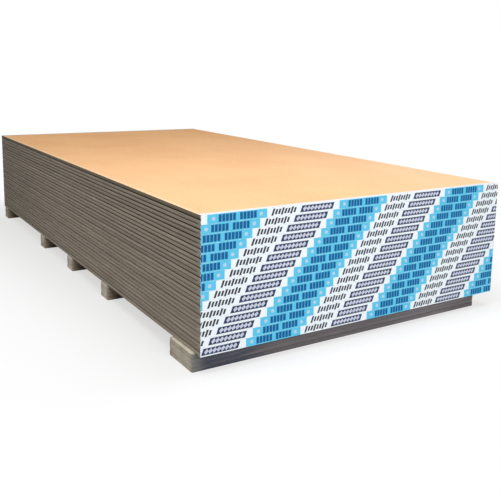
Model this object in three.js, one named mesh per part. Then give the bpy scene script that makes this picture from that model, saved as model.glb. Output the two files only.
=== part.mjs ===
// A lift of half-inch gypsum drywall, 4 ft by 8 ft, as it leaves the board line: sheets laid face to face in
// pairs, each pair held by a folded paper tape over both cut ends, all of it lying on laminated gypsum spacers.
// Millimetres, +Z up. X runs along the sheets, with the printed end at +X; the spacers stand out at -Y.
// The origin lies on the floor, under the centre of the overall footprint.

import * as THREE from 'three';
import { mergeVertices } from 'three/addons/utils/BufferGeometryUtils.js';

// --- Driving dimensions ---------------------------------------------------------------------------------------

// One sheet: square back, face tapered along both long edges, paper folded round the edges.
const SHEET_LENGTH = 2438.4;
const SHEET_WIDTH = 1219.2;
const SHEET_THICKNESS = 12.7;
const TAPER_WIDTH = 60;
const TAPER_DEPTH = 1.3;
const TAPER_BLEND = 14; // length of the soft bend where the taper meets the flat face
const EDGE_RADIUS = 2.2; // the paper's bend from the edge onto the face and the back
const EDGE_CROWN = 0.7; // how far the middle of the wrapped edge bulges

// The lift.
const PAIR_COUNT = 15;
const FACE_GAP = 0.4; // air between the two faces of a pair

// The end tapes: a paper channel over both cut ends of a pair.
const TAPE_THICKNESS = 0.3;
const TAPE_FOLD = 20; // how far it folds onto each back
const TAPE_SIDE_MARGIN = 1; // it stops this far short of the long edges
const TAPE_BEND_RADIUS = 0.25;
const TAPE_SLIT_DEPTH = 3; // depth of the gap cut between tapes that share one solid
const FAR_TAPES_PER_SOLID = 3;

// The spacers: strips of board glued flat into a block, with a recessed joint between strips.
const STRIP_THICKNESS = 12.7;
const STRIP_COUNT = 4;
const JOINT_HEIGHT = 1;
const JOINT_RECESS = 1.4;
const STRIP_STAGGER = 0.8; // every second strip is glued this far back all round
const STRIP_CORNER_RADIUS = 6; // the sawn corners are crushed round
const SPACER_LENGTH = 1170;
const WIDE_SPACER_OVERHANG = 12; // how far the wide one stands out past the long edges at -Y
const SPACER_OVERHANG = 3; // and the other four
const WIDE_SPACER_WIDTH = 152.4;
const SPACER_WIDTH = 76.2;
const END_SETBACK = 26; // from each end of the sheets to the spacer nearest it
const INNER_SPACING = 425; // between the centres of the three inner spacers
const INNER_SHIFT = 22; // how far the middle one lies from mid-length, towards the printed end

// Clearance between pieces that lie against each other.
const FIT = 0.3;

const CURVE_SEGMENTS = 4; // even, so that the crown of a wrapped edge reaches the full width

// --- Sizes that follow ----------------------------------------------------------------------------------------

const PAIR_THICKNESS = 2 * SHEET_THICKNESS + FACE_GAP;
const TAPE_SHEATH = FIT + TAPE_THICKNESS; // what a tape adds outside a sheet
const PAIR_PITCH = PAIR_THICKNESS + 2 * TAPE_SHEATH + FIT;
const SPACER_HEIGHT = STRIP_COUNT * STRIP_THICKNESS + (STRIP_COUNT - 1) * JOINT_HEIGHT;
const STACK_BASE = SPACER_HEIGHT + FIT;
const TAPE_WIDTH = SHEET_WIDTH - 2 * TAPE_SIDE_MARGIN;
const TAPED_STRETCH = TAPE_FOLD + FIT; // of a sheet's length, at each end

// --- Materials ------------------------------------------------------------------------------------------------

const backPaper = new THREE.MeshStandardMaterial({ color: 0xe6bb86, roughness: 0.85, metalness: 0 });
const tapePaper = new THREE.MeshStandardMaterial({ color: 0xeef4f8, roughness: 0.55, metalness: 0 });
const farTapePaper = new THREE.MeshStandardMaterial({ color: 0xe9eff4, roughness: 0.6, metalness: 0 });
const gypsumStrip = new THREE.MeshStandardMaterial({ color: 0x9a9184, roughness: 0.95, metalness: 0 });

const model = new THREE.Group();
const lift = new THREE.Group();
lift.position.z = STACK_BASE;
model.add(lift);

function addPiece(parent, name, geometry, material) {
  const piece = new THREE.Mesh(geometry, material);
  piece.name = name;
  parent.add(piece);
  return piece;
}

function twoDigits(number) {
  return String(number).padStart(2, '0');
}

// --- Drywall sheet --------------------------------------------------------------------------------------------

// Section of a sheet lying face up, drawn across its width: x across, y up from the back paper.
function sheetSection() {
  const half = SHEET_WIDTH / 2;
  const edgeHeight = SHEET_THICKNESS - TAPER_DEPTH;
  const slope = TAPER_DEPTH / TAPER_WIDTH;
  const blendRun = TAPER_BLEND / 2;
  const side = half - EDGE_CROWN;
  const section = new THREE.Shape();
  section.moveTo(-side + EDGE_RADIUS, 0);
  section.lineTo(side - EDGE_RADIUS, 0);
  section.quadraticCurveTo(side, 0, side, EDGE_RADIUS);
  section.quadraticCurveTo(half + EDGE_CROWN, edgeHeight / 2, side, edgeHeight - EDGE_RADIUS);
  section.quadraticCurveTo(side, edgeHeight, side - EDGE_RADIUS, edgeHeight + EDGE_RADIUS * slope);
  section.lineTo(half - TAPER_WIDTH + blendRun, SHEET_THICKNESS - blendRun * slope);
  section.quadraticCurveTo(half - TAPER_WIDTH, SHEET_THICKNESS, half - TAPER_WIDTH - blendRun, SHEET_THICKNESS);
  section.lineTo(-half + TAPER_WIDTH + blendRun, SHEET_THICKNESS);
  section.quadraticCurveTo(-half + TAPER_WIDTH, SHEET_THICKNESS,
    -half + TAPER_WIDTH - blendRun, SHEET_THICKNESS - blendRun * slope);
  section.lineTo(-side + EDGE_RADIUS, edgeHeight + EDGE_RADIUS * slope);
  section.quadraticCurveTo(-side, edgeHeight, -side, edgeHeight - EDGE_RADIUS);
  section.quadraticCurveTo(-half - EDGE_CROWN, edgeHeight / 2, -side, EDGE_RADIUS);
  section.quadraticCurveTo(-side, 0, -side + EDGE_RADIUS, 0);
  return section;
}

// The section runs the whole length in three stretches, the two ends under the tape folds and the bare part
// between them, so that the bare back which another lift's spacers rest on is a face of its own.
const stretchEnds = [0, TAPED_STRETCH, SHEET_LENGTH - TAPED_STRETCH, SHEET_LENGTH];
const stretches = stretchEnds.length - 1;
const sheetGeometry = new THREE.ExtrudeGeometry(sheetSection(), {
  depth: SHEET_LENGTH,
  steps: stretches,
  bevelEnabled: false,
  curveSegments: CURVE_SEGMENTS,
});
const sheetPoints = sheetGeometry.attributes.position;
for (let point = 0; point < sheetPoints.count; point += 1) {
  const end = Math.round((sheetPoints.getZ(point) / SHEET_LENGTH) * stretches);
  sheetPoints.setZ(point, stretchEnds[end]);
}

// Section x becomes Y, section y becomes Z, and the run is along X.
sheetGeometry.applyMatrix4(new THREE.Matrix4().makeBasis(
  new THREE.Vector3(0, 1, 0), new THREE.Vector3(0, 0, 1), new THREE.Vector3(1, 0, 0)));
sheetGeometry.translate(-SHEET_LENGTH / 2, 0, 0);

for (let pair = 0; pair < PAIR_COUNT; pair += 1) {
  const pairBase = pair * PAIR_PITCH;
  const faceUp = addPiece(lift, `sheet_${twoDigits(2 * pair + 1)}`, sheetGeometry, backPaper);
  faceUp.position.z = pairBase;
  const faceDown = addPiece(lift, `sheet_${twoDigits(2 * pair + 2)}`, sheetGeometry, backPaper);
  faceDown.rotation.x = Math.PI;
  faceDown.position.z = pairBase + PAIR_THICKNESS;
}

// --- End tapes ------------------------------------------------------------------------------------------------

// Section of one or more stacked tapes: x is the distance out from the sheets' cut ends, y is up from the lowest
// pair's lower back. Tapes that share a solid are joined behind a slit, on the folds between their pairs.
function tapeSection(count) {
  const face = TAPE_SHEATH;
  const bend = TAPE_BEND_RADIUS;
  const slitEnd = face - TAPE_SLIT_DEPTH;
  const section = new THREE.Shape();
  section.moveTo(-TAPE_FOLD, -TAPE_SHEATH);
  for (let tape = 0; tape < count; tape += 1) {
    const bottom = tape * PAIR_PITCH - TAPE_SHEATH;
    const top = tape * PAIR_PITCH + PAIR_THICKNESS + TAPE_SHEATH;
    section.lineTo(face - bend, bottom);
    section.quadraticCurveTo(face, bottom, face, bottom + bend);
    section.lineTo(face, top - bend);
    section.quadraticCurveTo(face, top, face - bend, top);
    if (tape < count - 1) {
      section.lineTo(slitEnd, top);
      section.lineTo(slitEnd, top + FIT);
    }
  }
  const lastTop = (count - 1) * PAIR_PITCH + PAIR_THICKNESS + TAPE_SHEATH;
  section.lineTo(-TAPE_FOLD, lastTop);
  for (let tape = count - 1; tape >= 0; tape -= 1) {
    const innerTop = tape * PAIR_PITCH + PAIR_THICKNESS + FIT;
    const innerBottom = tape * PAIR_PITCH - FIT;
    section.lineTo(-TAPE_FOLD, innerTop);
    section.lineTo(FIT, innerTop);
    section.lineTo(FIT, innerBottom);
    section.lineTo(-TAPE_FOLD, innerBottom);
  }
  section.closePath();
  return section;
}

// Section x becomes X, section y becomes Z, and the run is across the sheets, along -Y.
function tapeGeometry(count) {
  const geometry = new THREE.ExtrudeGeometry(tapeSection(count), {
    depth: TAPE_WIDTH,
    bevelEnabled: false,
    curveSegments: CURVE_SEGMENTS,
  });
  geometry.applyMatrix4(new THREE.Matrix4().makeBasis(
    new THREE.Vector3(1, 0, 0), new THREE.Vector3(0, 0, 1), new THREE.Vector3(0, -1, 0)));
  geometry.translate(SHEET_LENGTH / 2, TAPE_WIDTH / 2, 0);
  return geometry;
}

const endTapeGeometry = tapeGeometry(1);
for (let pair = 0; pair < PAIR_COUNT; pair += 1) {
  const tape = addPiece(lift, `end_tape_${twoDigits(pair + 1)}`, endTapeGeometry, tapePaper);
  tape.position.z = pair * PAIR_PITCH;
}

for (let first = 0; first < PAIR_COUNT; first += FAR_TAPES_PER_SOLID) {
  const count = Math.min(FAR_TAPES_PER_SOLID, PAIR_COUNT - first);
  const name = `far_tapes_${first / FAR_TAPES_PER_SOLID + 1}`;
  const tapes = addPiece(lift, name, tapeGeometry(count), farTapePaper);
  tapes.rotation.z = Math.PI;
  tapes.position.z = first * PAIR_PITCH;
}

// --- Spacers --------------------------------------------------------------------------------------------------

// The block's side profile, from the floor up, as [height, how far in from the widest outline].
function laminatedProfile() {
  const profile = [];
  for (let strip = 0; strip < STRIP_COUNT; strip += 1) {
    const base = strip * (STRIP_THICKNESS + JOINT_HEIGHT);
    const setBack = (strip % 2) * STRIP_STAGGER;
    profile.push([base, setBack], [base + STRIP_THICKNESS, setBack]);
    if (strip < STRIP_COUNT - 1) {
      profile.push([base + STRIP_THICKNESS, JOINT_RECESS], [base + STRIP_THICKNESS + JOINT_HEIGHT, JOINT_RECESS]);
    }
  }
  return profile;
}

// Outline of one level of the block, anticlockwise from above, with its corners rounded about the same centres
// however far the level is set in.
function blockOutline(width, inset) {
  const radius = STRIP_CORNER_RADIUS - inset;
  const centreX = width / 2 - STRIP_CORNER_RADIUS;
  const centreY = SPACER_LENGTH / 2 - STRIP_CORNER_RADIUS;
  const outline = [];
  [[1, 1], [-1, 1], [-1, -1], [1, -1]].forEach(([sideX, sideY], corner) => {
    for (let step = 0; step <= CURVE_SEGMENTS; step += 1) {
      const angle = (corner + step / CURVE_SEGMENTS) * (Math.PI / 2);
      outline.push([sideX * centreX + radius * Math.cos(angle), sideY * centreY + radius * Math.sin(angle)]);
    }
  });
  return outline;
}

// Carries the profile round that outline and caps it at the top and the floor.
function laminatedBlock(width) {
  const positions = [];
  const faces = [];
  const levels = laminatedProfile();
  const around = 4 * (CURVE_SEGMENTS + 1);
  for (const [height, inset] of levels) {
    for (const [x, y] of blockOutline(width, inset)) {
      positions.push(x, y, height);
    }
  }
  for (let level = 0; level < levels.length - 1; level += 1) {
    for (let step = 0; step < around; step += 1) {
      const here = around * level + step;
      const next = around * level + ((step + 1) % around);
      faces.push(here, next, next + around, here, next + around, here + around);
    }
  }
  const top = around * (levels.length - 1);
  for (let step = 1; step < around - 1; step += 1) {
    faces.push(0, step + 1, step, top, top + step, top + step + 1);
  }
  const geometry = new THREE.BufferGeometry();
  geometry.setAttribute('position', new THREE.Float32BufferAttribute(positions, 3));
  geometry.setIndex(faces);
  return mergeVertices(geometry);
}

const printedEnd = SHEET_LENGTH / 2;
const wide = { width: WIDE_SPACER_WIDTH, overhang: WIDE_SPACER_OVERHANG };
const narrow = { width: SPACER_WIDTH, overhang: SPACER_OVERHANG };
const spacers = [
  { ...wide, centre: printedEnd - END_SETBACK - WIDE_SPACER_WIDTH / 2 },
  { ...narrow, centre: INNER_SHIFT + INNER_SPACING },
  { ...narrow, centre: INNER_SHIFT },
  { ...narrow, centre: INNER_SHIFT - INNER_SPACING },
  { ...narrow, centre: -printedEnd + END_SETBACK + SPACER_WIDTH / 2 },
];
spacers.forEach(({ centre, width, overhang }, index) => {
  const spacer = addPiece(model, `spacer_${index + 1}`, laminatedBlock(width), gypsumStrip);
  spacer.position.set(centre, -SHEET_WIDTH / 2 - overhang + SPACER_LENGTH / 2, 0);
});

// The sheets' centre line lies off the origin by half of what the wide spacer stands out.
model.position.y = WIDE_SPACER_OVERHANG / 2;

export default model;
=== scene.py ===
import math

import bpy
from mathutils import Euler, Matrix, Vector


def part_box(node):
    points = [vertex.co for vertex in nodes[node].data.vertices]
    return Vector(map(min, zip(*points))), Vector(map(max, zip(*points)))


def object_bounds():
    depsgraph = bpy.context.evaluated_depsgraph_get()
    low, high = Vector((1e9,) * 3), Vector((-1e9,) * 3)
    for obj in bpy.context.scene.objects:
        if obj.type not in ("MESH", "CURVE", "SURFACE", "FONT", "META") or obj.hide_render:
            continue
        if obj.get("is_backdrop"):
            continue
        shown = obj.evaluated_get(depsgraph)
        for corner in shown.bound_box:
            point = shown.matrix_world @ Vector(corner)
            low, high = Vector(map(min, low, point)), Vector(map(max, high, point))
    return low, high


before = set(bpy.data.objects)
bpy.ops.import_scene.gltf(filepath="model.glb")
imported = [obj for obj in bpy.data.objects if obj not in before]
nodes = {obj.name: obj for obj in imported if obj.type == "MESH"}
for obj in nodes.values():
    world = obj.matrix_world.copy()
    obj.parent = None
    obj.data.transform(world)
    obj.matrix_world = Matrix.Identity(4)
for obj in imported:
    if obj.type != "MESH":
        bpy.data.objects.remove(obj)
cad_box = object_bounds()


# --- Spacers ----------------------------------------------------------------------------------------------
# Offcuts of half-inch gypsum board, glued flat into a block four strips high and laid on the floor, so that
# a fork can pass under the sheets. The sawn ends show the chalky core between its papers; the long sides
# are the papered edges, greyed by glue and yard dust.

SPACER_STRIPS = 4
STRIP_JOINT = 0.001  # height of the recess between two strips
STRIP_PAPER = 0.0006
STRIP_PAPER_SOFT = 0.0004

# Where a look starts and where it is full, in metres.
SAWN_END = (0.0026, 0.0018)  # in from either end
CORNER_SHADE = (0.016, 0.0)  # in from the long sides, on the ends, the top and the bottom
PAINTED_LIGHT_END = (0.05, 0.0)  # along the long sides, in from the end that stands out
PAINTED_SHADE_UNDER_SHEETS = (0.024, 0.008)  # down from the top of the long sides
FLAT_FACE = (0.001, 0.0002)  # in from the top or the bottom
PAINTED_SHADE_STRETCH = (-0.30, -0.47)  # Y on the long sides
DARKER_FAR_ALONG = (0.1, -1.25)  # X of the sawn ends
CHALK_AND_LIGHT_STRETCH = (0.175, 0.40, 0.125)  # Y on the long sides where it begins and ends, and how softly

# Patterns: the waves a metre along X, Y and Z, how finely they break up, how far they are moved, and for
# patches the values between which they come in.
CORE_DUST = {"waves": (25, 25, 40), "detail": 4, "cut": (0.35, 0.68)}
CORE_PORES = {"waves": (900, 900, 900), "detail": 1, "cut": (0.66, 0.74)}
SAW_STROKES = {"waves": (420, 40, 14), "detail": 2, "shift": 5}
SIDE_SCUFFS = {"waves": (60, 9, 500), "detail": 3, "shift": 2}
SIDE_RUBBED = {"waves": (30, 4, 110), "detail": 3, "shift": 8, "cut": (0.50, 0.74)}
TOP_FIBRES = {"waves": (500, 90, 500), "detail": 3, "shift": 4}
BLOCK_LUMPS = {"waves": (160, 160, 160), "detail": 4, "shift": 3}

# Factors on a colour, where a pattern is 0 and where it is 1.
STRIP_TONES = (0.92, 1.08)
SAW_STROKE_TONES = (0.9, 1.1)
SIDE_SCUFF_TONES = (0.72, 1.28)
TOP_FIBRE_TONES = (0.88, 1.12)
PAINTED_SHADE_UNDER_SHEETS_TONES = (1.06, 0.62)
PORE_TONES = (1, 0.65)
DARKER_FAR_TONES = (1, 0.68)
CORNER_SHADE_TONES = (1, 0.5)
CHALK_AND_LIGHT_TONES = (1, 1.28)

# How much of a colour shows where its mask is full.
END_PAPER_SHOWS = (0.16, 0.41)  # the least and the most that a strip can have
RUBBED_SHOWS = 0.45
SIDE_JOINT_SHOWS = 0.35

SAWN_CORE = (0.77, 0.715, 0.585, 1)
SAWN_CORE_DUSTY = (0.61, 0.55, 0.44, 1)
STRIP_PAPER_GREY = (0.25, 0.225, 0.195, 1)
SIDE_WORN = (0.25, 0.22, 0.205, 1)
SIDE_JOINT = (0.075, 0.068, 0.070, 1)
STRIP_TOP = (0.92, 0.865, 0.72, 1)
STRIP_TOP_DUSTY = (0.80, 0.74, 0.60, 1)
WIDE_BLOCK = {
    "core_tone": 0.91,
    "clean": (0.135, 0.124, 0.131, 1),
    "painted_shade": (0.063, 0.070, 0.094, 1),
    "painted_light": (0.195, 0.190, 0.180, 1),
}
NARROW_BLOCK = {
    "core_tone": 1.1,
    "clean": (0.145, 0.116, 0.090, 1),
    "painted_shade": (0.120, 0.095, 0.073, 1),
    "painted_light": (0.41, 0.335, 0.257, 1),
}

# Relief in metres, where a pattern is full.
SAW_STROKE_RELIEF = 0.0003
PORE_DEPTH = 0.00036
TOP_FIBRE_RELIEF = 0.00018
BLOCK_LUMP_RELIEF = 0.00036

GYPSUM_ROUGHNESS = (0.85, 0.97)  # clean and dusty
GYPSUM_GLOSS = 0.15
FACES_UP = (0.4, 0.6)  # how squarely a face looks up or down to count as the top or bottom


class Wire:
    """A socket in a node tree. Arithmetic on it adds the Math nodes, and node() adds any other kind."""

    def __init__(self, tree, socket=None):
        self.tree = tree
        self.socket = socket

    def node(self, kind, inputs, output=0, **settings):
        made = self.tree.nodes.new(kind)
        for name, value in settings.items():
            setattr(made, name, value)
        for name, value in inputs.items():
            if isinstance(value, Wire):
                self.tree.links.new(value.socket, made.inputs[name])
            else:
                made.inputs[name].default_value = value
        return Wire(self.tree, made.outputs[output] if made.outputs else None)

    def math(self, operation, *values):
        return self.node("ShaderNodeMath", dict(enumerate(values)), operation=operation)

    def __add__(self, other):
        return self.math("ADD", self, other)

    def __radd__(self, other):
        return self.math("ADD", other, self)

    def __sub__(self, other):
        return self.math("SUBTRACT", self, other)

    def __rsub__(self, other):
        return self.math("SUBTRACT", other, self)

    def __mul__(self, other):
        return self.math("MULTIPLY", self, other)

    def __rmul__(self, other):
        return self.math("MULTIPLY", other, self)

    def __truediv__(self, other):
        return self.math("DIVIDE", self, other)

    def __mod__(self, other):
        return self.math("FLOORED_MODULO", self, other)

    def __abs__(self):
        return self.math("ABSOLUTE", self)

    def floor(self):
        return self.math("FLOOR", self)

    def largest(self, other):
        return self.math("MAXIMUM", self, other)

    def along(self, axis):
        return self.node("ShaderNodeSeparateXYZ", {0: self}, output=axis)

    def rise(self, start, end):
        """0 at start and before it, 1 at end and past it, smooth between. The end may be the lower one."""
        reach = {"Value": self, "From Min": start, "From Max": end}
        return self.node("ShaderNodeMapRange", reach, interpolation_type="SMOOTHSTEP")

    def within(self, start, end, soft):
        """1 from start to end and 0 outside, with edges soft on both sides."""
        half = (end - start) / 2
        return abs(self - (start + end) / 2).rise(half + soft, half - soft)

    def stretch(self, low, high):
        """A value from 0 to 1 stretched to run from low to high."""
        return low + (high - low) * self

    def noise(self, waves, detail, shift=0.0):
        """Cloudy values about 0.5 on this point, with so many waves a metre along X, Y and Z."""
        scaled = {0: self, 1: waves, 2: (shift, 2 * shift, 3 * shift)}
        place = self.node("ShaderNodeVectorMath", scaled, operation="MULTIPLY_ADD")
        return self.node("ShaderNodeTexNoise", {"Vector": place, "Scale": 1.0, "Detail": detail})

    def patches(self, waves, detail, cut, shift=0.0):
        """Patches where such values pass the cut: none at its first number, full at its second."""
        return self.noise(waves, detail, shift).rise(*cut)

    def chance(self, seed):
        """An even random value from 0 to 1 for each whole number."""
        return self.node("ShaderNodeTexWhiteNoise", {"W": self + seed}, noise_dimensions="1D")

    def mix(self, below, above):
        """The colour below where this mask is 0, above where it is 1."""
        return self.node("ShaderNodeMix", {0: self, 6: below, 7: above}, output=2, data_type="RGBA")

    def toned(self, tone):
        """This colour made darker or lighter by a factor."""
        return self.node("ShaderNodeVectorMath", {0: self, "Scale": tone}, operation="SCALE")


def new_finish(name):
    """A material without nodes yet, and the point on the piece that its patterns are laid out by."""
    material = bpy.data.materials.new(name)
    material.use_nodes = True
    material.node_tree.nodes.clear()
    point = Wire(material.node_tree).node("ShaderNodeTexCoord", {}, output="Object")
    return material, point


def facing(point, axis):
    """How squarely the surface faces along an axis, 0 to 1."""
    return abs(point.node("ShaderNodeNewGeometry", {}, output="True Normal").along(axis))


def finish_surface(point, colour, roughness, relief, gloss):
    """Ends a material. The relief is in metres, and gloss is the shader's specular level."""
    bump = point.node("ShaderNodeBump", {"Strength": 1.0, "Distance": 1.0, "Height": relief})
    shader = point.node("ShaderNodeBsdfPrincipled", {
        "Base Color": colour,
        "Roughness": roughness,
        "Specular IOR Level": gloss,
        "Normal": bump,
    })
    point.node("ShaderNodeOutputMaterial", {"Surface": shader})


def named(start):
    """The names of the nodes that start so, in order."""
    return sorted(name for name in nodes if name.startswith(start))


def give(names, material):
    """Puts a material in place of the plain one on these nodes."""
    for name in names:
        for slot in nodes[name].material_slots:
            slot.material = material


def glued_gypsum_strips(block, core_tone, clean, painted_shade, painted_light):
    """The finish of one block, with the colours of its long sides' paper and of the shade and light painted
    on them.
    """
    material, point = new_finish("glued_gypsum_" + block)
    low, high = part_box(block)
    centre, half = (low + high) / 2, (high - low) / 2
    from_end = half.y - abs(point.along(1) - centre.y)
    from_side = half.x - abs(point.along(0) - centre.x)
    from_flat = half.z - abs(point.along(2) - centre.z)
    seed = int(block[-1])
    strip_pitch = (high.z - low.z + STRIP_JOINT) / SPACER_STRIPS
    strip = (point.along(2) / strip_pitch).floor()
    strip_height = point.along(2) % strip_pitch
    strip_tone = strip.chance(seed).stretch(*STRIP_TONES)

    # Sawn ends: dusty patches, saw strokes and pinholes in the core, thin grey papers above and below it.
    dust = point.patches(**CORE_DUST, shift=seed)
    pores = point.patches(**CORE_PORES)
    strokes = point.noise(**SAW_STROKES)
    core = dust.mix(SAWN_CORE, SAWN_CORE_DUSTY).toned(core_tone * strip_tone)
    core = core.toned(strokes.stretch(*SAW_STROKE_TONES) * pores.stretch(*PORE_TONES))
    core_top = strip_pitch - STRIP_JOINT - STRIP_PAPER
    paper_line = 1 - strip_height.within(STRIP_PAPER, core_top, STRIP_PAPER_SOFT)
    paper_shows = strip.chance(seed + 2).stretch(*END_PAPER_SHOWS)
    sawn = (paper_line * paper_shows).mix(core, STRIP_PAPER_GREY)
    # The sawn ends are darker towards the far end.
    darker_far_tone = point.along(0).rise(*DARKER_FAR_ALONG).stretch(*DARKER_FAR_TONES)
    # Painted shade: darker towards the long sides, where the rounded corners turn from the light.
    corner_shade_tone = from_side.rise(*CORNER_SHADE).stretch(*CORNER_SHADE_TONES)
    sawn = sawn.toned(darker_far_tone * corner_shade_tone)

    # Long sides: papered edges with scuffs along them and streaks where the core chalks through. They carry
    # painted shade towards the end that stands out and painted light on its last bit, are lighter past the
    # middle from chalk and painted light, and carry painted shade where the sheets lie on them.
    scuff_tone = point.noise(**SIDE_SCUFFS).stretch(*SIDE_SCUFF_TONES)
    rubbed = point.patches(**SIDE_RUBBED)
    # Painted shade: darker, and bluish on the wide block, towards the end that stands out.
    side = point.along(1).rise(*PAINTED_SHADE_STRETCH).mix(clean, painted_shade)
    side = (rubbed * RUBBED_SHOWS).mix(side, SIDE_WORN)
    # Lighter past the middle: partly chalk, partly painted light.
    chalk_and_light_tone = point.along(1).within(*CHALK_AND_LIGHT_STRETCH).stretch(*CHALK_AND_LIGHT_TONES)
    side = side.toned(strip_tone * scuff_tone * chalk_and_light_tone)
    # Painted shade: the long sides darken towards their top, under the overhanging sheets.
    painted_shade_under_sheets = (high.z - point.along(2)).rise(*PAINTED_SHADE_UNDER_SHEETS)
    side = side.toned(painted_shade_under_sheets.stretch(*PAINTED_SHADE_UNDER_SHEETS_TONES))
    # Painted light: the last bit beside the end that stands out is lighter, where light reaches in under the
    # sheets.
    side = (point.along(1) - low.y).rise(*PAINTED_LIGHT_END).mix(side, painted_light)
    side = (paper_line * SIDE_JOINT_SHOWS).mix(side, SIDE_JOINT)

    # Top and bottom: plain board paper.
    fibres = point.noise(**TOP_FIBRES)
    flat = dust.mix(STRIP_TOP, STRIP_TOP_DUSTY)
    # The flat faces take the same painted shade towards the long sides.
    flat = flat.toned(fibres.stretch(*TOP_FIBRE_TONES) * corner_shade_tone)

    colour = from_end.rise(*SAWN_END).mix(side, sawn)
    on_flat = facing(point, 2).rise(*FACES_UP) * from_flat.rise(*FLAT_FACE)
    colour = on_flat.mix(colour, flat)
    relief = strokes * SAW_STROKE_RELIEF - pores * PORE_DEPTH
    relief = relief + fibres * TOP_FIBRE_RELIEF + point.noise(**BLOCK_LUMPS) * BLOCK_LUMP_RELIEF
    finish_surface(point, colour, dust.stretch(*GYPSUM_ROUGHNESS), relief, GYPSUM_GLOSS)
    return material


for block in named("spacer"):
    look = WIDE_BLOCK if block == "spacer_1" else NARROW_BLOCK
    give([block], glued_gypsum_strips(block, **look))


# --- Drywall sheets ---------------------------------------------------------------------------------------
# A gypsum core between two papers: tan recycled paper on the back, and a paler face paper that is folded
# round both long edges and lapped under the back paper. The sheets lie face to face in pairs, so the backs
# show.

EDGE_FOLD = 0.0022  # radius of the paper's bend
LAP_WIDTH = 0.015
LAP_WANDER = 0.003
LAP_SOFT = 0.0012
PAIR_START_SLACK = 0.0004  # keeps rounding from counting a pair's lowest paper to the pair below
CORE_FROM_MIDDLE = 0.0012  # out from the middle of a pair, where the core starts on the cut ends
BACK_PAPER = 0.0006
CORE_SOFT = 0.0002

# Where a look starts and where it is full.
TOP_BACK = (0.003, 0.002)  # down from the top of the lift
BACK_FACE = (0.0004, 0.0001)  # in from a pair's backs
BACK_PAST_FOLD = (0.5, 1.1)  # in from the long edges, in radii of the fold
GROOVE = (0.4, 1.6)  # the same
FACE_JOINT = (0.0030, 0.0)  # out from the middle of a pair
BACK_JOINT = (0.0022, 0.0)  # in from a pair's backs
PAINTED_SHEEN_ALONG = (-1.1, 0.9)  # X
PAINTED_SHEEN_ACROSS = (-0.15, 0.7)  # Y
GROOVE_DARKENING_ALONG = (-1.2, 0.7)  # X
GROOVE_DARKENING_UP = (0.16, 0.42)  # Z
FAR_SHADE_ALONG = (-1.25, 0.1)  # X
PAINTED_LIGHT_BAND = (0.29, 0.39, 0.04)  # Z where it begins and ends, and how softly

PAPER_FIBRES = {"waves": (45, 900, 900), "detail": 4}
PAPER_CLOUDS = {"waves": (3.1, 3.7, 3.0), "detail": 3, "shift": 1}
PAPER_MOTTLE = {"waves": (60, 70, 60), "detail": 3, "shift": 2}
ROLLER_STREAKS = {"waves": (0.7, 90, 1), "detail": 2, "shift": 3}
DARK_FLECKS = {"waves": (330, 700, 500), "detail": 1, "shift": 4, "cut": (0.66, 0.72)}
PALE_FLECKS = {"waves": (300, 650, 500), "detail": 1, "shift": 6, "cut": (0.66, 0.73)}
LAP_EDGE = {"waves": (14, 1, 1), "detail": 3, "shift": 7}
EDGE_SCUFFS = {"waves": (5, 5, 420), "detail": 4, "shift": 8}
EDGE_CHALK = {"waves": (9, 9, 160), "detail": 4, "shift": 9, "cut": (0.60, 0.78)}
EDGE_GRAIN = {"waves": (300, 300, 600), "detail": 2, "shift": 10}
EDGE_SCUFFS_CUT = (0.35, 0.7)
DEEP_TAN_CUT = (0.38, 0.66)
DEEP_TAN_CLOUDS = 0.7  # share of the clouds in the deeper tan, the rest being mottle
SHEET_SEED = 3

BACK_FIBRE_TONES = (0.89, 1.05)
ROLLER_STREAK_TONE = 0.06
LAP_FIBRE_TONES = (0.94, 1.06)
SHEET_TONES = (0.88, 1.12)
EDGE_GRAIN_TONES = (0.9, 1.1)
FAR_SHADE_TONES = (0.76, 1.04)
PAINTED_LIGHT_BAND_TONES = (1, 1.10)

DARK_FLECKS_SHOW = 0.5
PALE_FLECKS_SHOW = 0.6
PAINTED_SHEEN_SHOWS = (0.115, 0.245)  # along the near and along the far long edge
EDGE_CHALK_SHOWS = 0.35
TOP_EDGE_SHOWS = 0.75
GROOVE_DARKENING = (0.15, 1.0)  # at the far end and at the printed end
JOINT_DARKENS = 0.95

BACK_TAN = (0.95, 0.536, 0.245, 1)
BACK_TAN_DEEP = (0.90, 0.481, 0.210, 1)
PAINTED_SHEEN = (0.95, 0.80, 0.66, 1)
BACK_FLECK_DARK = (0.42, 0.22, 0.10, 1)
BACK_FLECK_PALE = (0.95, 0.72, 0.50, 1)
LAP_PAPER = (0.93, 0.74, 0.52, 1)
EDGE_PAPER = (0.294, 0.25, 0.198, 1)
EDGE_PAPER_PALE = (0.432, 0.375, 0.304, 1)
EDGE_GROOVE = (0.10, 0.083, 0.065, 1)
TOP_EDGE_GRIME = (0.15, 0.118, 0.075, 1)
FACE_PAPER = (0.62, 0.58, 0.52, 1)
CUT_CORE = (0.70, 0.67, 0.62, 1)

PAPER_FIBRE_RELIEF = 0.000125
PAPER_MOTTLE_RELIEF = 0.000175
PAPER_CLOUD_RELIEF = 0.00015
LAP_RELIEF = 0.000175
EDGE_SCUFF_RELIEF = 0.00015
BOARD_ROUGHNESS = (0.78, 0.92)
BOARD_GLOSS = 0.22
FACES_ALONG = (0.6, 0.9)  # how squarely a face looks along X to count as a cut end


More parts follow.
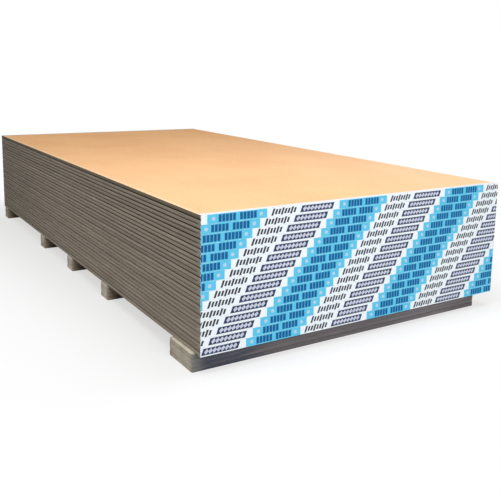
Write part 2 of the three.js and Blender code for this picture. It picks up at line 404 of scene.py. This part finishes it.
def board_paper(sheets):
    """The finish of all the sheets, from the lowest to the highest."""
    material, point = new_finish("board_paper")
    low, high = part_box(sheets[0])
    pair_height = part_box(sheets[1])[1].z - low.z
    pair_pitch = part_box(sheets[2])[0].z - low.z
    top_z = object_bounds()[1].z
    middle = (low.y + high.y) / 2
    half_width = (high.y - low.y) / 2

    from_middle = abs(point.along(1) - middle)
    from_edge = half_width - from_middle
    from_bottom = point.along(2) - low.z + PAIR_START_SLACK
    above = from_bottom % pair_pitch - PAIR_START_SLACK
    from_mid_pair = abs(above - pair_height / 2)
    from_back = pair_height / 2 - from_mid_pair
    sheet = (from_bottom / (pair_pitch / 2)).floor()

    # Back paper: machine-direction fibres, broad clouds, flecks of recycled stock and faint roller streaks.
    # A pale painted sheen lies on it, more towards the printed end and the far long edge.
    fibres = point.noise(**PAPER_FIBRES)
    clouds = point.noise(**PAPER_CLOUDS)
    mottle = point.noise(**PAPER_MOTTLE)
    deeper = (clouds * DEEP_TAN_CLOUDS + mottle * (1 - DEEP_TAN_CLOUDS)).rise(*DEEP_TAN_CUT)
    streaks = point.noise(**ROLLER_STREAKS) * ROLLER_STREAK_TONE
    tan = deeper.mix(BACK_TAN, BACK_TAN_DEEP).toned(fibres.stretch(*BACK_FIBRE_TONES) + streaks)
    tan = (point.patches(**DARK_FLECKS) * DARK_FLECKS_SHOW).mix(tan, BACK_FLECK_DARK)
    tan = (point.patches(**PALE_FLECKS) * PALE_FLECKS_SHOW).mix(tan, BACK_FLECK_PALE)
    sheen_shows = point.along(1).rise(*PAINTED_SHEEN_ACROSS).stretch(*PAINTED_SHEEN_SHOWS)
    tan = (point.along(0).rise(*PAINTED_SHEEN_ALONG) * sheen_shows).mix(tan, PAINTED_SHEEN)

    # Along both long edges the lapped face paper shows, pale on top of the lift and dusty in the gaps.
    lap_edge = half_width - LAP_WIDTH + (point.noise(**LAP_EDGE) - 0.5) * LAP_WANDER
    lap = (from_middle - lap_edge).rise(-LAP_SOFT, LAP_SOFT)
    lap_paper = mottle.mix(LAP_PAPER, BACK_TAN).toned(fibres.stretch(*LAP_FIBRE_TONES))
    on_top = (top_z - point.along(2)).rise(*TOP_BACK)
    lap_paper = (1 - on_top).mix(lap_paper, EDGE_PAPER_PALE)
    back = lap.mix(tan, lap_paper)

    # Folded edges: each sheet its own tone, long scuffs, and chalk rubbed on by handling.
    sheet_tone = sheet.chance(SHEET_SEED).stretch(*SHEET_TONES)
    scuffs = point.noise(**EDGE_SCUFFS)
    edge = scuffs.rise(*EDGE_SCUFFS_CUT).mix(EDGE_PAPER, EDGE_PAPER_PALE)
    edge = (point.patches(**EDGE_CHALK) * EDGE_CHALK_SHOWS).mix(edge, FACE_PAPER)
    edge = edge.toned(sheet_tone * point.noise(**EDGE_GRAIN).stretch(*EDGE_GRAIN_TONES))

    # Dust and painted shade darken the rolled corners of each edge and the joints, most high in the lift and
    # towards the printed end. The top sheet's edge is grimy.
    groove_darkening_along = point.along(0).rise(*GROOVE_DARKENING_ALONG).stretch(*GROOVE_DARKENING)
    groove_darkening = point.along(2).rise(*GROOVE_DARKENING_UP) * groove_darkening_along
    in_groove = (from_edge / EDGE_FOLD).rise(*GROOVE)
    edge = (in_groove * groove_darkening).mix(edge, EDGE_GROOVE)
    top_sheet = sheet.rise(len(sheets) - 2, len(sheets) - 1)
    edge = (top_sheet * TOP_EDGE_SHOWS).mix(edge, TOP_EDGE_GRIME)
    joint = from_mid_pair.rise(*FACE_JOINT).largest(from_back.rise(*BACK_JOINT))
    joint_tone = 1 - joint * JOINT_DARKENS * groove_darkening
    # Painted shade: the edges darken towards the far end.
    edge = edge.toned(joint_tone * point.along(0).rise(*FAR_SHADE_ALONG).stretch(*FAR_SHADE_TONES))
    # Painted light: a paler band part way up the long side, where sheet edges catch the light.
    edge = edge.toned(point.along(2).within(*PAINTED_LIGHT_BAND).stretch(*PAINTED_LIGHT_BAND_TONES))

    on_back = from_back.rise(*BACK_FACE) * (from_edge / EDGE_FOLD).rise(*BACK_PAST_FOLD)
    colour = on_back.mix(edge, back)

    # Cut ends, behind the tapes: the chalky core.
    cut = facing(point, 0).rise(*FACES_ALONG)
    core = from_mid_pair.within(CORE_FROM_MIDDLE, pair_height / 2 - BACK_PAPER, CORE_SOFT)
    colour = (cut * core).mix(colour, CUT_CORE)

    relief = fibres * PAPER_FIBRE_RELIEF + mottle * PAPER_MOTTLE_RELIEF + clouds * PAPER_CLOUD_RELIEF
    relief = relief + lap * LAP_RELIEF + scuffs * EDGE_SCUFF_RELIEF
    finish_surface(point, colour, mottle.stretch(*BOARD_ROUGHNESS), relief, BOARD_GLOSS)
    return material


sheets = named("sheet")
give(sheets, board_paper(sheets))


# --- End tapes --------------------------------------------------------------------------------------------
# A strip of white coated paper glued over the cut ends of each pair and folded 20 mm onto both backs. It is
# printed with sky-blue fields, navy blocks and dark ticks before it is put on, so each pair's print starts
# at its own place.

TAPE_GAP = 0.0003  # between the tapes of two pairs
PRINT_REPEAT = 0.462
PRINT_STEP = 0.0235  # from one pair's print to the next
PRINT_JITTER = 0.006
PRINT_SLANT = 0.010
PRINT_START = 0.31
INK_EDGE = 0.0005

# Places along the print, in metres from where a repeat starts.
SKY_FIELD = (0.0, 0.196)
FIRST_BAR = 0.035
BAR_PITCH = 0.0115
BAR_COUNT = 11
MISSING_BAR = 5  # counted from 0; the gap parts the bars into two groups
PALE_DOTS = (0.020, 0.176)
FIRST_TICK = 0.212
TICK_PITCH = 0.0110
TICK_COUNT = 8
TALL_TICKS = 3  # every third one
FIRST_LOZENGE = 0.324
LOZENGE_PITCH = 0.0135
LOZENGE_COUNT = 8
BLOCK_MARGIN = 0.5  # of navy past the first and last lozenges, in lozenge pitches

# Where a mark starts and ends, and how softly: widths in its own pitch, heights in row pitches from the
# middle of the row.
ROW_SOFT = 0.04  # both ends of a row of marks, in its pitch
BAR_WIDTH = (0.12, 0.86, 0.05)
BAR_HEIGHT = (-0.38, 0.38, 0.03)
TICK_WIDTH = (0.18, 0.82, 0.06)
BLOCK_HEIGHT = (-0.37, 0.37, 0.02)
SEAM_HEIGHT = (-0.012, 0.012, 0.02)
TICK_TOP = (0.29, 0.26)  # from where a tick is gone to where it is full
TALL_TICK_EXTRA = 0.10
DOT_EDGE = (0.050, 0.034)  # the same, in squared row pitches from the dot's middle
LOZENGE_EDGE = (0.475, 0.395)  # the same, for its two slopes added up
LOZENGE_SLOPES = (0.8, 1.45)  # along and up
WORN_AND_LIT_BEND = (0.44, 0.5)

TAPE_INK = {"waves": (260, 260, 260), "detail": 3, "shift": 1}
TAPE_WEAR_AND_HIGHLIGHT = {"waves": (30, 120, 200), "detail": 4, "shift": 2, "cut": (0.45, 0.62)}
TAPE_PUCKER = {"waves": (6, 9, 34), "detail": 3, "shift": 3}
TAPE_TOOTH = {"waves": (900, 900, 900), "detail": 2, "shift": 4}
INK_TONES = (0.94, 1.06)
DOTS_SHOW = 0.75
LOZENGES_SHOW = 0.9
WORN_AND_LIT_SHOWS = 0.55

TAPE_WHITE = (0.855, 0.925, 0.975, 1)
TAPE_FOLD = (0.72, 0.75, 0.77, 1)
SKY_INK = (0.105, 0.56, 0.82, 1)
MID_BLUE_INK = (0.050, 0.45, 0.74, 1)
BLUE_INK = (0.003, 0.088, 0.265, 1)
NAVY_INK = (0.028, 0.036, 0.098, 1)
BLACK_INK = (0.030, 0.031, 0.048, 1)
PALE_MARK = (0.62, 0.67, 0.80, 1)

TAPE_PUCKER_RELIEF = 0.00072
TAPE_TOOTH_RELIEF = 0.000054
TAPE_SEAM_DEPTH = 0.000225
TAPE_ROUGHNESS = (0.46, 0.58)
TAPE_GLOSS = 0.25
FACES_OUT = (0.5, 0.8)  # how squarely a face looks along X to be printed


def printed_tape(name, across_sign, tapes, rows, start_at):
    """The finish of one end's tapes. The print runs along +Y where across_sign is 1, along -Y for -1."""
    material, point = new_finish(name)
    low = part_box(tapes[0])[0]
    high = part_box(tapes[-1])[1]
    row_pitch = (high.z - low.z + TAPE_GAP) / rows
    left = low.y if across_sign > 0 else -high.y
    across = point.along(1) * across_sign - left
    from_lowest = (point.along(2) - low.z) / row_pitch
    row = from_lowest.floor()
    centred = from_lowest % 1.0 - 0.5

    # The print's own length coordinate, started afresh on every tape.
    start = row * PRINT_STEP + (row.chance(start_at) - 0.5) * PRINT_JITTER
    upright = (across - start + start_at) % PRINT_REPEAT
    slanted = (across - start - centred * PRINT_SLANT + start_at) % PRINT_REPEAT

    # Sky-blue fields, each with a panel of dark-blue bars between two pale dots.
    sky = upright.within(*SKY_FIELD, INK_EDGE)
    bar = (upright - FIRST_BAR) / BAR_PITCH
    gap = bar.within(MISSING_BAR, MISSING_BAR + 1, ROW_SOFT)
    panel = bar.within(0, BAR_COUNT, ROW_SOFT) * (1 - gap) * centred.within(*BAR_HEIGHT)
    bars = panel * (bar % 1.0).within(*BAR_WIDTH)
    dots = 0
    for dot in PALE_DOTS:
        beside = (upright - dot) / row_pitch
        dots = (beside * beside + centred * centred).rise(*DOT_EDGE) + dots

    # Dark ticks, some of them tall, and navy blocks with a row of pale lozenges.
    tick = (slanted - FIRST_TICK) / TICK_PITCH
    tall = (tick.floor() % TALL_TICKS).rise(1, 0)
    ticks = tick.within(0, TICK_COUNT, ROW_SOFT) * (tick % 1.0).within(*TICK_WIDTH)
    ticks = ticks * (abs(centred) - TALL_TICK_EXTRA * tall).rise(*TICK_TOP)
    lozenge = (slanted - FIRST_LOZENGE) / LOZENGE_PITCH
    block = lozenge.within(-BLOCK_MARGIN, LOZENGE_COUNT + BLOCK_MARGIN, ROW_SOFT)
    block = block * centred.within(*BLOCK_HEIGHT)
    slope_along, slope_up = LOZENGE_SLOPES
    lozenges = abs(lozenge % 1.0 - 0.5) * slope_along + abs(centred) * slope_up
    lozenges = lozenges.rise(*LOZENGE_EDGE) * lozenge.within(0, LOZENGE_COUNT, ROW_SOFT)

    # Ink on the coated paper.
    colour = sky.mix(TAPE_WHITE, SKY_INK)
    colour = panel.mix(colour, MID_BLUE_INK)
    colour = bars.mix(colour, BLUE_INK)
    colour = (dots * DOTS_SHOW).mix(colour, PALE_MARK)
    colour = block.mix(colour, NAVY_INK)
    colour = (lozenges * LOZENGES_SHOW).mix(colour, PALE_MARK)
    colour = ticks.mix(colour, BLACK_INK)

    # Along the bend the print is pale in patches, partly worn ink and partly a painted highlight. The folds
    # onto the backs are bare, and the tone is a little uneven.
    face = facing(point, 0).rise(*FACES_OUT)
    rubbed = abs(centred).rise(*WORN_AND_LIT_BEND) * point.patches(**TAPE_WEAR_AND_HIGHLIGHT)
    colour = (rubbed * WORN_AND_LIT_SHOWS * face).mix(colour, TAPE_WHITE)
    colour = face.mix(TAPE_FOLD, colour).toned(point.noise(**TAPE_INK).stretch(*INK_TONES))

    # Relief: soft pucker, paper tooth, and the line where the two sheets of the pair meet behind the tape.
    pucker = point.noise(**TAPE_PUCKER)
    relief = pucker * TAPE_PUCKER_RELIEF + point.noise(**TAPE_TOOTH) * TAPE_TOOTH_RELIEF
    relief = relief - centred.within(*SEAM_HEIGHT) * TAPE_SEAM_DEPTH
    finish_surface(point, colour, pucker.stretch(*TAPE_ROUGHNESS), relief, TAPE_GLOSS)
    return material


end_tapes = named("end_tape")
give(end_tapes, printed_tape("printed_end_tape", 1, end_tapes, len(end_tapes), PRINT_START))


# --- Far end tapes ----------------------------------------------------------------------------------------
# The same tape over the other cut ends, turned round with its end, so that its rows step the other way.
# Several tapes share a solid here, and the print gives each of them a row of its own.

FAR_PRINT_START = 0.17

far_tapes = named("far_tapes")
give(far_tapes, printed_tape("printed_far_tape", -1, far_tapes, len(end_tapes), FAR_PRINT_START))


# --- Floor and backdrop -----------------------------------------------------------------------------------
# A plain pale floor that takes the lift's shadow and runs out into a white surround. Seen directly both are
# near white, and the light that they throw on the lift is weaker than that.

FLOOR_RADIUS = 30
FLOOR_SIDES = 96
FLOOR_SEEN = (0.94, 0.94, 0.94, 1)
FLOOR_UNSEEN = (0.38, 0.37, 0.36, 1)
FLOOR_GLOW = 0.62  # share of plain white in the floor beside the lift
FLOOR_FADE = (0.05, 0.75)  # how far out from the lift that share starts to grow, and is whole
SURROUND_LIGHT = 0.50
WHITE = (1, 1, 1, 1)


def seen_directly(wire):
    """1 for rays that show what they meet: from the camera, in a reflection or through glass."""
    camera_ray, glossy_ray, through_ray = [
        wire.node("ShaderNodeLightPath", {}, output=kind)
        for kind in ("Is Camera Ray", "Is Glossy Ray", "Is Transmission Ray")
    ]
    return camera_ray.largest(glossy_ray).largest(through_ray)


bpy.ops.mesh.primitive_circle_add(vertices=FLOOR_SIDES, radius=FLOOR_RADIUS, fill_type="NGON")
floor = bpy.context.object
floor.name = "floor"
floor_material, floor_point = new_finish("pale_floor")
seen = seen_directly(floor_point)
shadowed = floor_point.node("ShaderNodeBsdfDiffuse", {"Color": seen.mix(FLOOR_UNSEEN, FLOOR_SEEN)})
plain_white = floor_point.node("ShaderNodeEmission", {"Color": WHITE, "Strength": 1.0})
outside_x = abs(floor_point.along(0)) - cad_box[1].x
outside_y = abs(floor_point.along(1)) - cad_box[1].y
whitened = outside_x.largest(outside_y).rise(*FLOOR_FADE).stretch(FLOOR_GLOW, 1)
floor_mix = floor_point.node("ShaderNodeMixShader", {0: seen * whitened, 1: shadowed, 2: plain_white})
floor_point.node("ShaderNodeOutputMaterial", {"Surface": floor_mix})
floor.data.materials.append(floor_material)
floor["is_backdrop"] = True

surround = bpy.data.worlds.new("white_surround")
surround.use_nodes = True
surround.node_tree.nodes.clear()
sky_wire = Wire(surround.node_tree)
soft_light = sky_wire.node("ShaderNodeBackground", {"Color": WHITE, "Strength": SURROUND_LIGHT})
pure_white = sky_wire.node("ShaderNodeBackground", {"Color": WHITE, "Strength": 1.0})
sky_shaders = {0: seen_directly(sky_wire), 1: soft_light, 2: pure_white}
sky_mix = sky_wire.node("ShaderNodeMixShader", sky_shaders)
sky_wire.node("ShaderNodeOutputWorld", {"Surface": sky_mix})
bpy.context.scene.world = surround


# --- Lamps ------------------------------------------------------------------------------------------------
# Two soft boxes: a long one that lies across the lift above its printed end, whose light thins out along
# the top, and a square one that faces the printed end. Places and sizes are in metres, power in watts.

SOFT_BOXES = {
    "overhead_box": {"place": (1.2, -0.2, 2.5), "aim": (1.2, -0.2, 0.0), "size": (0.9, 3.0), "power": 37},
    "front_box": {"place": (4.6, -0.4, 1.1), "aim": (1.2, 0.0, 0.25), "size": (1.6, 1.6), "power": 70},
}

for name, box in SOFT_BOXES.items():
    lamp_data = bpy.data.lights.new(name, "AREA")
    lamp_data.shape = "RECTANGLE"
    lamp_data.size, lamp_data.size_y = box["size"]
    lamp_data.energy = box["power"]
    lamp = bpy.data.objects.new(name, lamp_data)
    lamp.location = box["place"]
    away = Vector(box["place"]) - Vector(box["aim"])
    lamp.rotation_euler = away.to_track_quat("Z", "Y").to_euler()
    bpy.context.scene.collection.objects.link(lamp)


# --- Camera -----------------------------------------------------------------------------------------------
# Off the corner between the printed end and the long side where the spacers stand out, a little above the
# lift. It looks down a little, and the shift lowers the view further, so that upright edges lean less.

CAMERA_PLACE = Vector((2.8511, -1.4576, 0.8590))
CAMERA_AZIMUTH = math.radians(58.195)
CAMERA_ELEVATION = math.radians(9.194)
CAMERA_ROLL = math.radians(0.911)
CAMERA_LENS = 49.556
CAMERA_SHIFT = (0.0, -0.14)

camera_data = bpy.data.cameras.new("camera")
camera_data.lens = CAMERA_LENS
camera_data.shift_x, camera_data.shift_y = CAMERA_SHIFT
camera = bpy.data.objects.new("camera", camera_data)
camera.location = CAMERA_PLACE
level = Euler((math.pi / 2 - CAMERA_ELEVATION, 0, CAMERA_AZIMUTH)).to_matrix()
camera.rotation_euler = (level @ Matrix.Rotation(CAMERA_ROLL, 3, "Z")).to_euler()
bpy.context.scene.collection.objects.link(camera)
bpy.context.scene.camera = camera
bpy.context.scene.view_settings.view_transform = "Standard"
